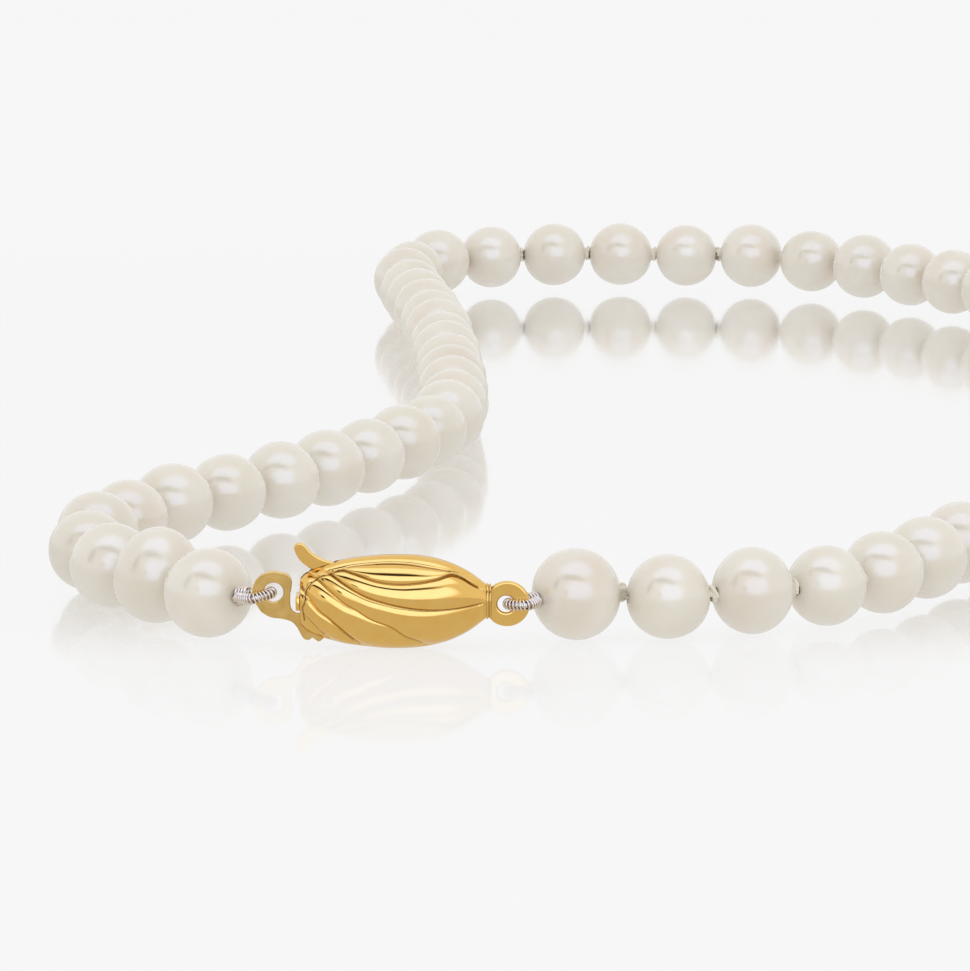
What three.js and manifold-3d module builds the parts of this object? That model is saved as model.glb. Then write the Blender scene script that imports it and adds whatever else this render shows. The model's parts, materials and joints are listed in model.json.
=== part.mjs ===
// A pearl necklace lying flat: 64 drilled pearls on knotted silk, closed by a gold fish-hook clasp.
// Millimetres, +Z up, the surface it lies on at Z = 0. X runs along the clasp, Y across the loop.
import * as THREE from "three";
import { mergeVertices } from "three/addons/utils/BufferGeometryUtils.js";
import Module from "manifold-3d";

const wasm = await Module();
wasm.setup();

// ---- Driving dimensions ----
const PEARL_COUNT = 64;
const PEARL_RADIUS = 3.78; // the strand's usual pearl, 7.5 to 8 mm across
const BORE_RADIUS = 0.45;
const SILK_RADIUS = 0.18;
const KNOT_RADIUS = 0.34;
const WIRE_RADIUS = 0.44; // French wire: the fine coil that guards the silk at each end
const SHEET = 0.6; // tongue and ring stock
const SLOT = 0.9; // width of the housing's slot
const HOLE_RADIUS = 0.95;

// The middle of the loop on the surface is the origin; the clasp's middle sits here.
const CLASP = new THREE.Vector3(-24.08, -109.13, 0);

// The knot between these two is left slack, because the loop's two halves part there when it flexes.
const SLACK_KNOT = [42, 43];
const SLACK = 1.35;

// Pearls in the right-hand bend are strung as joined stretches, first and last pearl of each.
const JOINED_RUNS = [
  [37, 42],
  [43, 48],
  [49, 53],
];

// The strand's course from the tongue's end round to the housing's end, in the clasp's own X and Y.
const ROUTE = [
  [-16.4, 4.6], [-22.1, 12.6], [-27, 20.6], [-28.6, 29.4], [-26.8, 38.5], [-22.6, 47.5],
  [-17, 55.2], [-11, 62.8], [-5.8, 71.6], [-1.2, 80.6], [2.6, 90.5], [4.6, 102], [4.6, 118],
  [4, 136], [3, 154], [1.4, 171], [-0.4, 186], [-1.2, 199], [1.6, 210], [9.6, 216], [20, 217.8],
  [31, 217.4], [41, 216], [50, 211], [57.6, 203.2], [64, 194.5], [70.2, 183], [74, 168],
  [76, 150], [76.4, 130], [75.6, 110], [73.6, 90], [70, 70], [65, 54], [59.2, 41],
  [52.8, 30.2], [47.2, 19.9], [40.2, 11], [32.2, 6.4], [24.8, 4.2], [16.2, 3.5],
];

// Half-length along the bore and half-girth of the pearls that differ from the rest.
const ODD_PEARLS = {
  1: [3.88, 3.98],
  2: [3.8, 4.12],
  3: [3.9, 3.84],
  64: [3.95, 4.08],
  63: [3.72, 3.76],
  62: [3.6, 3.86],
  61: [3.55, 3.6],
  60: [3.7, 3.7],
};

// Clasp heights above the surface.
const AXIS_Z = 4.18;
const RING_CENTRE = new THREE.Vector3(9.98, 0, 3.94);
const EYELET_CENTRE = new THREE.Vector3(-10.45, 0, 5);

// Housing outline: station along X and half-height there. The shells are this turned, and flattened in Y.
const HOUSING = [
  [-8.1, 2.1], [-7.6, 2.6], [-6.7, 3.05], [-5.3, 3.5], [-3.8, 3.82], [-2, 4.06], [0.3, 4.18],
  [2.5, 4.08], [4.2, 3.74], [5.8, 3.14], [7, 2.46], [7.8, 1.86], [8.25, 1.5],
];
const HOUSING_FLATNESS = 0.76;
const SHELL_WALL = 0.45;
const SLOT_END_TOP = -4.3; // the slot is open to the left of these
const SLOT_END_BOTTOM = -5.9;

const GOLD = new THREE.MeshStandardMaterial({ color: 0xe0b04a, metalness: 1, roughness: 0.15 });
const NACRE = new THREE.MeshStandardMaterial({ color: 0xe9e4da, metalness: 0, roughness: 0.3 });
const SILK = new THREE.MeshStandardMaterial({ color: 0xdcd3c0, metalness: 0, roughness: 0.8 });
const SILVER_WIRE = new THREE.MeshStandardMaterial({ color: 0xcfc6c2, metalness: 1, roughness: 0.3 });

const necklace = new THREE.Group();
necklace.position.copy(CLASP);

function add(name, geometry, material) {
  const mesh = new THREE.Mesh(geometry, material);
  mesh.name = name;
  necklace.add(mesh);
  return mesh;
}

// ---- Solids ----
function solid(geometry) {
  const bare = geometry.clone();
  bare.deleteAttribute("normal");
  bare.deleteAttribute("uv");
  const merged = mergeVertices(bare, 1e-4);
  return new wasm.Manifold(
    new wasm.Mesh({
      numProp: 3,
      vertProperties: new Float32Array(merged.attributes.position.array),
      triVerts: new Uint32Array(merged.index.array),
    }),
  );
}

function geometryOf(body) {
  const mesh = body.getMesh();
  return new THREE.BufferGeometry()
    .setAttribute("position", new THREE.BufferAttribute(mesh.vertProperties, 3))
    .setIndex(new THREE.BufferAttribute(mesh.triVerts, 1));
}

function block(x0, x1, y0, y1, z0, z1) {
  const box = new THREE.BoxGeometry(x1 - x0, y1 - y0, z1 - z0);
  return solid(box.translate((x0 + x1) / 2, (y0 + y1) / 2, (z0 + z1) / 2));
}

// A flat piece cut from sheet, drawn in X and Z and centred on the clasp's middle plane.
function sheetPiece(outline, thickness) {
  const flat = new THREE.ExtrudeGeometry(outline, {
    depth: thickness,
    bevelEnabled: false,
    curveSegments: 6,
  });
  return flat.translate(0, 0, -thickness / 2).rotateX(Math.PI / 2);
}

// A path that is sampled at exactly its own stations.
class Stations extends THREE.Curve {
  constructor(points) {
    super();
    this.points = points;
  }
  getPoint(t) {
    const at = THREE.MathUtils.clamp(t, 0, 1) * (this.points.length - 1);
    const i = Math.min(Math.floor(at), this.points.length - 2);
    return this.points[i].clone().lerp(this.points[i + 1], at - i);
  }
  getPointAt(u) {
    return this.getPoint(u);
  }
  getTangentAt(u) {
    return this.getTangent(u);
  }
}

// A round bar whose radius is set at each station.
function bar(points, radii, sides) {
  const seed = 0.05;
  const ring = new THREE.Shape();
  for (let i = 0; i < sides; i++) {
    const a = (2 * Math.PI * i) / sides;
    ring[i ? "lineTo" : "moveTo"](seed * Math.cos(a), seed * Math.sin(a));
  }
  const swept = new THREE.ExtrudeGeometry(ring, {
    steps: points.length - 1,
    bevelEnabled: false,
    extrudePath: new Stations(points),
  });
  const corners = swept.attributes.position;
  const corner = new THREE.Vector3();
  for (let i = 0; i < corners.count; i++) {
    corner.fromBufferAttribute(corners, i);
    let near = 0;
    for (let k = 1; k < points.length; k++) {
      if (corner.distanceToSquared(points[k]) < corner.distanceToSquared(points[near])) near = k;
    }
    corner.sub(points[near]).multiplyScalar(radii[near] / seed).add(points[near]);
    corners.setXYZ(i, corner.x, corner.y, corner.z);
  }
  return swept;
}

// ---- The strand ----
function pearlSize(number) {
  if (ODD_PEARLS[number]) return ODD_PEARLS[number];
  const length = PEARL_RADIUS + 0.07 * Math.sin(1.9 * number);
  const girth = PEARL_RADIUS + 0.08 * Math.sin(2.7 * number + 1);
  return [length, girth];
}

function strand() {
  const course = new THREE.CatmullRomCurve3(
    ROUTE.map(([x, y]) => new THREE.Vector3(x, y, 0)),
    false,
    "centripetal",
  );
  course.arcLengthDivisions = 2000;
  const total = course.getLength();
  const sizes = [];
  for (let n = 1; n <= PEARL_COUNT; n++) sizes.push(pearlSize(n));
  let pearlsAlone = 0;
  for (let i = 1; i < PEARL_COUNT; i++) pearlsAlone += sizes[i - 1][0] + sizes[i][0];
  const knot = (total - pearlsAlone - SLACK) / (PEARL_COUNT - 1);
  const pearls = [];
  let along = 0;
  sizes.forEach(([length, girth], i) => {
    if (i) along += sizes[i - 1][0] + length + knot;
    if (i + 1 === SLACK_KNOT[1]) along += SLACK;
    const centre = course.getPointAt(Math.min(along / total, 1));
    centre.z = girth;
    pearls.push({ number: i + 1, length, girth, centre });
  });
  const towards = (from, to) => to.clone().sub(from).normalize();
  pearls.forEach((pearl, i) => {
    const before = i ? pearls[i - 1].centre : EYELET_CENTRE;
    const ahead = i < PEARL_COUNT - 1 ? towards(pearl.centre, pearls[i + 1].centre) : null;
    pearl.axis = ahead
      ? ahead.add(towards(before, pearl.centre)).normalize()
      : towards(pearl.centre, RING_CENTRE);
    pearl.entry = pearl.centre.clone().addScaledVector(pearl.axis, -pearl.length);
    pearl.exit = pearl.centre.clone().addScaledVector(pearl.axis, pearl.length);
  });
  return pearls;
}

const pearls = strand();

function drilledPearl({ length, girth }) {
  const rows = 6;
  const first = Math.asin(BORE_RADIUS / girth);
  const profile = [];
  for (let i = 0; i <= rows; i++) {
    const a = first + ((Math.PI - 2 * first) * i) / rows;
    profile.push(new THREE.Vector2(girth * Math.sin(a), -length * Math.cos(a)));
  }
  profile.push(profile[0].clone());
  return new THREE.LatheGeometry(profile, 10);
}

function addPearl(pearl) {
  const name = "pearl_" + String(pearl.number).padStart(2, "0");
  const mesh = add(name, drilledPearl(pearl), NACRE);
  mesh.position.copy(pearl.centre);
  mesh.quaternion.setFromUnitVectors(new THREE.Vector3(0, 1, 0), pearl.axis);
}

// Several pearls and the silk between them as one beaded bar.
function addJoinedRun(first, last, index) {
  const points = [];
  const radii = [];
  for (const pearl of pearls.slice(first - 1, last)) {
    for (const angle of [8, 30, 60, 90, 120, 150, 172]) {
      const a = THREE.MathUtils.degToRad(angle);
      points.push(pearl.centre.clone().addScaledVector(pearl.axis, -pearl.length * Math.cos(a)));
      radii.push(pearl.girth * Math.sin(a));
    }
  }
  add("pearl_run_" + (index + 1), bar(points, radii, 10), NACRE);
}

// One length of silk through the bores of pearls first to last, swelling to a knot in each gap.
function addSilk(name, first, last) {
  const points = [];
  const radii = [];
  const strung = pearls.slice(first - 1, last);
  strung.forEach((pearl, i) => {
    const inset = i ? -0.15 : 0.3;
    points.push(pearl.entry.clone().addScaledVector(pearl.axis, inset));
    radii.push(SILK_RADIUS);
    const next = strung[i + 1];
    points.push(pearl.exit.clone().addScaledVector(pearl.axis, next ? 0.15 : -0.3));
    radii.push(SILK_RADIUS);
    if (next) {
      points.push(pearl.exit.clone().lerp(next.entry, 0.5));
      radii.push(KNOT_RADIUS);
    }
  });
  add(name, bar(points, radii, 6), SILK);
}

const inRun = (number) => JOINED_RUNS.some(([a, b]) => number >= a && number <= b);
pearls.filter((pearl) => !inRun(pearl.number)).forEach(addPearl);
JOINED_RUNS.forEach(([first, last], i) => addJoinedRun(first, last, i));
addSilk("silk_thread_tongue_side", 1, JOINED_RUNS[0][0] - 1);
addSilk("silk_thread_ring_side", JOINED_RUNS[2][1] + 1, PEARL_COUNT);

// ---- French wire: each loop passes through a hole, round its rim and back to the pearl's bore ----
function addFrenchWire(name, hole, mouth) {
  const out = mouth.clone().sub(hole).setY(0).normalize();
  const place = (reach, y) => hole.clone().addScaledVector(out, reach).setY(y);
  const run = mouth.clone().sub(hole).normalize();
  const beside = new THREE.Vector3(run.y, -run.x, 0).normalize();
  if (beside.y > 0) beside.negate();
  const clear = SHEET / 2 + WIRE_RADIUS + 0.1;
  const end = mouth.clone().addScaledVector(run, -0.3);
  const path = new THREE.CatmullRomCurve3(
    [
      end.clone().addScaledVector(beside, 0.5),
      end.clone().lerp(place(2.4, -0.3), 0.6).addScaledVector(beside, 0.3),
      place(1.9, -clear),
      place(1, -clear),
      place(0.45, -0.42),
      place(0.4, 0),
      place(0.45, 0.42),
      place(1, clear),
      place(1.9, clear + 0.15),
      end.clone().lerp(place(2.4, 1.1), 0.6).addScaledVector(beside, -0.3),
      end.clone().addScaledVector(beside, -0.5),
    ],
    false,
    "centripetal",
  );
  const points = path.getSpacedPoints(26);
  add(name, bar(points, points.map(() => WIRE_RADIUS), 6), SILVER_WIRE);
}

addFrenchWire("french_wire_tongue_side", EYELET_CENTRE, pearls[0].entry);
addFrenchWire("french_wire_ring_side", RING_CENTRE, pearls[PEARL_COUNT - 1].exit);

// ---- Clasp housing: two stamped shells soldered along their seam, open in a slot at the left ----
function turnedHousing(inset) {
  const outer = HOUSING.map(([x, half]) => new THREE.Vector2(half - inset, x));
  const ends = inset ? 0.6 : 0; // the hollow runs out through the mouth and stops short of the end wall
  const first = outer[0];
  const last = outer[outer.length - 1];
  const profile = [new THREE.Vector2(0, first.y - ends)];
  if (inset) profile.push(new THREE.Vector2(first.x, first.y - ends));
  profile.push(...(inset ? outer.slice(0, -2) : outer));
  profile.push(new THREE.Vector2(0, inset ? HOUSING.at(-3)[0] : last.y));
  const turned = new THREE.LatheGeometry(profile, 28).rotateZ(-Math.PI / 2);
  return turned.scale(1, HOUSING_FLATNESS, 1).translate(0, 0, AXIS_Z);
}

function addShells() {
  const cup = solid(turnedHousing(0)).subtract(solid(turnedHousing(SHELL_WALL)));
  const slotTop = block(-20, SLOT_END_TOP, -SLOT / 2, SLOT / 2, AXIS_Z, 20);
  const slotBottom = block(-20, SLOT_END_BOTTOM, -SLOT / 2, SLOT / 2, -20, AXIS_Z + 1);
  const slotted = cup.subtract(slotTop).subtract(slotBottom);
  const seam = 0.01;
  add("front_shell", geometryOf(slotted.intersect(block(-20, 20, -20, -seam, -20, 20))), GOLD);
  add("back_shell", geometryOf(slotted.intersect(block(-20, 20, seam, 20, -20, 20))), GOLD);
}

addShells();

// The bar across the mouth that the hook catches on when the catch lets go.
function addCrossbar() {
  const half = 1.35;
  add("crossbar", geometryOf(block(-8.6, -8.12, -half, half, 3.55, 4.75)), GOLD);
}

addCrossbar();

function addEndRing() {
  const outline = new THREE.Shape();
  const reach = 1.86;
  const root = HOUSING.at(-1)[0] + 0.02 - RING_CENTRE.x;
  const open = Math.acos(root / reach);
  outline.absarc(RING_CENTRE.x, RING_CENTRE.z, reach, open, -open, true);
  outline.closePath();
  const hole = new THREE.Path();
  hole.absarc(RING_CENTRE.x, RING_CENTRE.z, HOLE_RADIUS, 0, 2 * Math.PI, false);
  outline.holes.push(hole);
  add("end_ring", sheetPiece(outline, SHEET), GOLD);
}

addEndRing();

// ---- The tongue: eyelet, neck and lower arm in one sheet piece, with the spring arm above it ----
function addTonguePlate() {
  const plate = new THREE.Shape();
  plate.moveTo(-9.05, 3.6);
  plate.quadraticCurveTo(-8.7, 3.1, -8.2, 3.05);
  plate.lineTo(-2, 3.2);
  plate.lineTo(4.3, 3.62);
  plate.lineTo(4.3, 2.9);
  plate.lineTo(-2, 2.2);
  plate.lineTo(-5.75, 1.75);
  plate.lineTo(-6, 1.1);
  plate.lineTo(-6.5, 0.7);
  plate.lineTo(-6.9, 1.05);
  plate.lineTo(-7.4, 0.8);
  plate.lineTo(-7.95, 1.1);
  plate.quadraticCurveTo(-8.5, 2.3, -9.6, 2.75);
  plate.quadraticCurveTo(-11.2, 2.85, -12.1, 4);
  plate.absarc(EYELET_CENTRE.x, EYELET_CENTRE.z, 1.78, Math.PI + 0.5, Math.PI / 2 - 0.2, true);
  plate.quadraticCurveTo(-9.15, 6.6, -8.95, 5.9);
  plate.quadraticCurveTo(-9, 4.6, -9.05, 3.6);
  const hole = new THREE.Path();
  hole.absarc(EYELET_CENTRE.x, EYELET_CENTRE.z, HOLE_RADIUS, 0, 2 * Math.PI, false);
  plate.holes.push(hole);
  add("tongue_plate", sheetPiece(plate, SHEET), GOLD);
}

addTonguePlate();

function addThumbLever() {
  const lever = new THREE.Shape();
  lever.moveTo(4.6, 3.72);
  lever.lineTo(4.6, 4.5);
  lever.lineTo(1, 5.6);
  lever.lineTo(-2, 6.55);
  lever.lineTo(-4.3, 7.15);
  lever.quadraticCurveTo(-5.6, 7.75, -6.5, 8.05);
  lever.quadraticCurveTo(-7.5, 8.5, -7.85, 9.15);
  lever.quadraticCurveTo(-8.3, 9.45, -8.5, 8.86);
  lever.quadraticCurveTo(-7.9, 7.7, -6.75, 6.95);
  lever.lineTo(-4.3, 6.3);
  lever.lineTo(-2, 5.7);
  lever.lineTo(1, 4.75);
  lever.lineTo(3.9, 3.72);
  lever.closePath();
  add("thumb_lever", sheetPiece(lever, SHEET), GOLD);
}

addThumbLever();

export default necklace;
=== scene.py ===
"""A pearl necklace: drilled pearls on knotted silk, French wire at both ends, a gold fish-hook clasp.

Lengths are millimetres in the clasp's own frame, as in the part: +X runs from the tongue to the ring,
+Y away from the front, +Z up from the surface. write_mesh() turns them into metres in the row frame.
"""

import json
import math

import bmesh
import bpy
import numpy as np
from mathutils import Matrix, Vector, noise


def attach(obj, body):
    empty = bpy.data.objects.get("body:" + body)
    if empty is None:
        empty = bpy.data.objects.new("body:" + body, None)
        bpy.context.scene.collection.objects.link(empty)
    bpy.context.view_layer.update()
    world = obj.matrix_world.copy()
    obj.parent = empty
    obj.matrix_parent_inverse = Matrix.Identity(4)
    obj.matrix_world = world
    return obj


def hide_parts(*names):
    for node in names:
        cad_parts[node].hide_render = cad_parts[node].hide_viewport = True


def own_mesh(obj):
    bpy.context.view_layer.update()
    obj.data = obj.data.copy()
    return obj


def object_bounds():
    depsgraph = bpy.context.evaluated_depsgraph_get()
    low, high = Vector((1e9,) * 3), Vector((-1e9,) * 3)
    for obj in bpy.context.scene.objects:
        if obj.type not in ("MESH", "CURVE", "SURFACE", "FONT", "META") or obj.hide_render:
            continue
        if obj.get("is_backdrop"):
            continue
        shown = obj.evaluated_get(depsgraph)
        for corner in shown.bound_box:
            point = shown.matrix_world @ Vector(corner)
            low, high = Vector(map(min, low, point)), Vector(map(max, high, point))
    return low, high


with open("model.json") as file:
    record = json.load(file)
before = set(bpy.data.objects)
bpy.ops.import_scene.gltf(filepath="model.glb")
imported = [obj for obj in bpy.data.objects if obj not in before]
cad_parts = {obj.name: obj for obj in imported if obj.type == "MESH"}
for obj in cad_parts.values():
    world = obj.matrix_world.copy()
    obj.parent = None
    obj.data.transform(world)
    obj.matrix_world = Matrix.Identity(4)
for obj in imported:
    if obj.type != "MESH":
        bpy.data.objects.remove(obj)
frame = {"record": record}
cad_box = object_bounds()

MM = 0.001
FRAME_BODIES = frame["record"]["behaviour"]["bodies"]
BODY_OF = {node: body for body, nodes in FRAME_BODIES.items() for node in nodes}

# ---- The part's driving dimensions ----
CLASP = np.array([-24.08, -109.13, 0.0])
PEARL_COUNT = 64
PEARL_RADIUS = 3.78
BORE_RADIUS = 0.45
SLACK_KNOT = 42
SLACK = 1.35
JOINED_RUNS = {"pearl_run_1": (37, 42), "pearl_run_2": (43, 48), "pearl_run_3": (49, 53)}
ROUTE = [
    (-16.4, 4.6), (-22.1, 12.6), (-27, 20.6), (-28.6, 29.4), (-26.8, 38.5), (-22.6, 47.5),
    (-17, 55.2), (-11, 62.8), (-5.8, 71.6), (-1.2, 80.6), (2.6, 90.5), (4.6, 102), (4.6, 118),
    (4, 136), (3, 154), (1.4, 171), (-0.4, 186), (-1.2, 199), (1.6, 210), (9.6, 216), (20, 217.8),
    (31, 217.4), (41, 216), (50, 211), (57.6, 203.2), (64, 194.5), (70.2, 183), (74, 168),
    (76, 150), (76.4, 130), (75.6, 110), (73.6, 90), (70, 70), (65, 54), (59.2, 41),
    (52.8, 30.2), (47.2, 19.9), (40.2, 11), (32.2, 6.4), (24.8, 4.2), (16.2, 3.5),
]
ODD_PEARLS = {
    1: (3.88, 3.98), 2: (3.8, 4.12), 3: (3.9, 3.84), 64: (3.95, 4.08),
    63: (3.72, 3.76), 62: (3.6, 3.86), 61: (3.55, 3.6), 60: (3.7, 3.7),
}
AXIS_Z = 4.18
RING_CENTRE = np.array([9.98, 0, 3.94])
EYELET_CENTRE = np.array([-10.45, 0, 5.0])
HOLE_RADIUS = 0.95
SHEET = 0.6
WIRE_RADIUS = 0.44
HOUSING = [
    (-8.1, 2.1), (-7.6, 2.6), (-6.7, 3.05), (-5.3, 3.5), (-3.8, 3.82), (-2, 4.06), (0.3, 4.18),
    (2.5, 4.08), (4.2, 3.74), (5.8, 3.14), (7, 2.46), (7.8, 1.86), (8.25, 1.5),
]
HOUSING_FLATNESS = 0.76
SHELL_WALL = 0.45


# ---- Camera ----
# Where the camera stands from the clasp, and how far it looks down.
CAMERA_FROM_CLASP = np.array([8.14, -522.5, 109.8])
CAMERA_DOWN_DEGREES = 10.336


def make_camera():
    camera = bpy.data.objects.new("camera", bpy.data.cameras.new("camera"))
    bpy.context.scene.collection.objects.link(camera)
    camera.data.lens = 224.7
    camera.data.sensor_width = 36
    camera.data.clip_start = 0.01
    camera.data.clip_end = 20
    camera.location = (CLASP + CAMERA_FROM_CLASP) * MM
    camera.rotation_euler = (math.radians(90 - CAMERA_DOWN_DEGREES), 0, 0)
    bpy.context.scene.camera = camera


make_camera()


# ---- Materials ----
def linear(code):
    """An sRGB hex colour as linear RGBA."""
    parts = [int(code[i : i + 2], 16) / 255 for i in (1, 3, 5)]
    return (*[c / 12.92 if c <= 0.04045 else ((c + 0.055) / 1.055) ** 2.4 for c in parts], 1)


def node(tree, kind, values=None, **settings):
    """A node with its settings, and for each input a value or another node's output."""
    made = tree.nodes.new(kind)
    for key, value in settings.items():
        setattr(made, key, value)
    for socket, value in (values or {}).items():
        if isinstance(value, bpy.types.NodeSocket):
            tree.links.new(value, made.inputs[socket])
        else:
            made.inputs[socket].default_value = value
    return made


def material(name, build):
    """A material whose surface build(tree) makes."""
    made = bpy.data.materials.new(name)
    made.use_nodes = True
    tree = made.node_tree
    tree.nodes.clear()
    surface = build(tree)
    node(tree, "ShaderNodeOutputMaterial", {"Surface": surface.outputs[0]})
    return made


def ramp(tree, factor, stops):
    """A colour ramp through (position, colour) stops."""
    made = node(tree, "ShaderNodeValToRGB", {"Fac": factor})
    while len(made.color_ramp.elements) < len(stops):
        made.color_ramp.elements.new(0.5)
    for element, (position, colour) in zip(made.color_ramp.elements, stops):
        element.position = position
        element.color = colour
    return made.outputs["Color"]


def grey(value):
    return (value, value, value, 1)


def every(millimetres):
    """A texture's scale for a pattern of this size."""
    return 1 / (millimetres * MM)


def nacre(tree):
    """Cultured pearl nacre, tumbled smooth: thin aragonite layers, so soft depth under a satin gloss."""
    where = node(tree, "ShaderNodeTexCoord").outputs["Object"]
    # Body colour drifts from pearl to pearl, every 9 mm or so.
    drift = node(tree, "ShaderNodeTexNoise", {"Vector": where, "Scale": every(9), "Detail": 1.0})
    body = ramp(
        tree,
        drift.outputs["Fac"],
        [(0.3, linear("#E0D9CD")), (0.5, linear("#E5E0D5")), (0.7, linear("#E1DACD"))],
    )
    # Overtone: faint rose and cream clouds 5 mm across.
    cloud = node(tree, "ShaderNodeTexNoise", {"Vector": where, "Scale": every(5), "Detail": 0.5})
    tint = ramp(
        tree,
        cloud.outputs["Fac"],
        [(0.3, linear("#FCF7F2")), (0.5, linear("#FFFFFF")), (0.7, linear("#FAF9F3"))],
    )
    colour = node(
        tree,
        "ShaderNodeMix",
        {0: 0.75, 6: body, 7: tint},
        data_type="RGBA",
        blend_type="MULTIPLY",
    )
    # Growth leaves shallow waves about 2.5 mm apart, drawn 0.03 mm high.
    wave = node(tree, "ShaderNodeTexNoise", {"Vector": where, "Scale": every(2.5), "Detail": 0.0})
    relief = node(
        tree, "ShaderNodeBump", {"Height": wave.outputs["Fac"], "Strength": 0.3, "Distance": 0.03 * MM}
    )
    satin = node(
        tree,
        "ShaderNodeMapRange",
        {"Value": wave.outputs["Fac"], "To Min": 0.2, "To Max": 0.28},
    )
    return node(
        tree,
        "ShaderNodeBsdfPrincipled",
        {
            "Base Color": colour.outputs[2],
            "Roughness": satin.outputs["Result"],
            "IOR": 1.65,
            "Specular IOR Level": 0.9,
            "Specular Tint": linear("#FFF4E0"),
            "Subsurface Weight": 0.3,
            "Subsurface Radius": (1.0, 0.85, 0.7),
            "Subsurface Scale": 1.6 * MM,
            "Coat Weight": 0.9,
            "Coat Roughness": 0.13,
            "Coat IOR": 1.65,
            "Sheen Weight": 0.15,
            "Sheen Roughness": 0.4,
            "Normal": relief.outputs["Normal"],
        },
    )


def gold(darker, lighter, roughness_low, roughness_high, scratch_mm):
    """18 carat yellow gold. A finish is its two tones, its polish and how far apart its scratches lie."""

    def build(tree):
        where = node(tree, "ShaderNodeTexCoord").outputs["Object"]
        # The buff leaves its polish uneven over 1.2 mm or so.
        smear = node(
            tree, "ShaderNodeTexNoise", {"Vector": where, "Scale": every(1.2), "Detail": 3.0}
        )
        scratch = node(
            tree,
            "ShaderNodeTexNoise",
            {"Vector": where, "Scale": every(scratch_mm), "Detail": 3.0, "Distortion": 1.5},
        )
        rough = node(
            tree,
            "ShaderNodeMapRange",
            {"Value": smear.outputs["Fac"], "To Min": roughness_low, "To Max": roughness_high},
        )
        metal = ramp(tree, smear.outputs["Fac"], [(0.3, linear(darker)), (0.7, linear(lighter))])
        # Painted shade: the chased lines and hollows are darkened towards dark brown, as much as each
        # point's attribute asks.
        recess = node(tree, "ShaderNodeAttribute", attribute_name="recess")
        tone = node(
            tree,
            "ShaderNodeMix",
            {0: recess.outputs["Fac"], 6: metal, 7: linear("#6B421C")},
            data_type="RGBA",
        )
        relief = node(
            tree,
            "ShaderNodeBump",
            {"Height": scratch.outputs["Fac"], "Strength": 0.25, "Distance": 0.004 * MM},
        )
        return node(
            tree,
            "ShaderNodeBsdfPrincipled",
            {
                "Base Color": tone.outputs[2],
                "Metallic": 1.0,
                "Roughness": rough.outputs["Result"],
                "Normal": relief.outputs["Normal"],
            },
        )

    return build


def bullion_wire(tree):
    """Fine silver-gilt wire of the coils, drawn bright and a little tarnished between the turns."""
    where = node(tree, "ShaderNodeTexCoord").outputs["Object"]
    tarnish = node(tree, "ShaderNodeTexNoise", {"Vector": where, "Scale": every(0.8), "Detail": 2.0})
    tone = ramp(tree, tarnish.outputs["Fac"], [(0.35, linear("#E2D3C2")), (0.65, linear("#F0E6DC"))])
    rough = node(
        tree,
        "ShaderNodeMapRange",
        {"Value": tarnish.outputs["Fac"], "To Min": 0.16, "To Max": 0.3},
    )
    return node(
        tree,
        "ShaderNodeBsdfPrincipled",
        {"Base Color": tone, "Metallic": 1.0, "Roughness": rough.outputs["Result"]},
    )


def bead_silk(tree):
    """Twisted bead silk, undyed: matt filaments 0.08 mm apart with a soft sheen."""
    where = node(tree, "ShaderNodeTexCoord").outputs["Object"]
    fibre = node(tree, "ShaderNodeTexNoise", {"Vector": where, "Scale": every(0.08), "Detail": 2.0})
    tone = ramp(tree, fibre.outputs["Fac"], [(0.3, linear("#E2D8C2")), (0.7, linear("#F3ECDC"))])
    relief = node(
        tree,
        "ShaderNodeBump",
        {"Height": fibre.outputs["Fac"], "Strength": 0.4, "Distance": 0.01 * MM},
    )
    return node(
        tree,
        "ShaderNodeBsdfPrincipled",
        {
            "Base Color": tone,
            "Roughness": 0.75,
            "Sheen Weight": 0.4,
            "Sheen Roughness": 0.5,
            "Normal": relief.outputs["Normal"],
        },
    )


NACRE = material("cultured_pearl_nacre", nacre)
BUFFED_GOLD = material("buffed_yellow_gold", gold("#EDBF69", "#F1C672", 0.05, 0.11, 0.35))
# The rolled sheet is rougher than the buffed gold, and its darker tones are painted shade.
SHADED_ROLLED_GOLD = material("rolled_yellow_gold_sheet", gold("#D6AE62", "#E6C27A", 0.14, 0.24, 0.2))
WIRE = material("silver_gilt_bullion_wire", bullion_wire)
SILK = material("twisted_bead_silk", bead_silk)


# ---- Mesh tools ----
def write_mesh(name, points, faces, finish, body, slot, recess=None, replaces=()):
    """A piece from points in the clasp's frame, riding on a body.

    The optional shade list gives how much painted shade darkens each point, and replaces lists the nodes
    that it stands for.
    """
    mesh = bpy.data.meshes.new(name)
    mesh.from_pydata(((np.asarray(points) + CLASP) * MM).tolist(), [], faces)
    mesh.polygons.foreach_set("use_smooth", [True] * len(mesh.polygons))
    mesh.update()
    mesh.materials.append(finish)
    if recess is not None:
        mesh.attributes.new("recess", "FLOAT", "POINT").data.foreach_set("value", recess)
    piece = bpy.data.objects.new(name, mesh)
    bpy.context.scene.collection.objects.link(piece)
    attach(piece, body)
    if replaces:
        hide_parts(*replaces)
    return piece


def grid_faces(rows, columns, wrap_rows=False, wrap_columns=False):
    """Quads of a grid whose points are listed row by row."""
    faces = []
    for i in range(rows if wrap_rows else rows - 1):
        for j in range(columns if wrap_columns else columns - 1):
            a, b = i * columns, (i + 1) % rows * columns
            k = (j + 1) % columns
            faces.append((a + j, a + k, b + k, b + j))
    return faces


def unit(vector):
    return vector / np.linalg.norm(vector)


def frame_along(axis):
    """Two unit vectors square to an axis."""
    side = unit(np.cross(unit(axis), [0, 0, 1.0]))
    return side, np.cross(side, unit(axis))


def turned(side, up, angle):
    """The unit vector at an angle from side towards up."""
    return side * math.cos(angle) + up * math.sin(angle)


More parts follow.
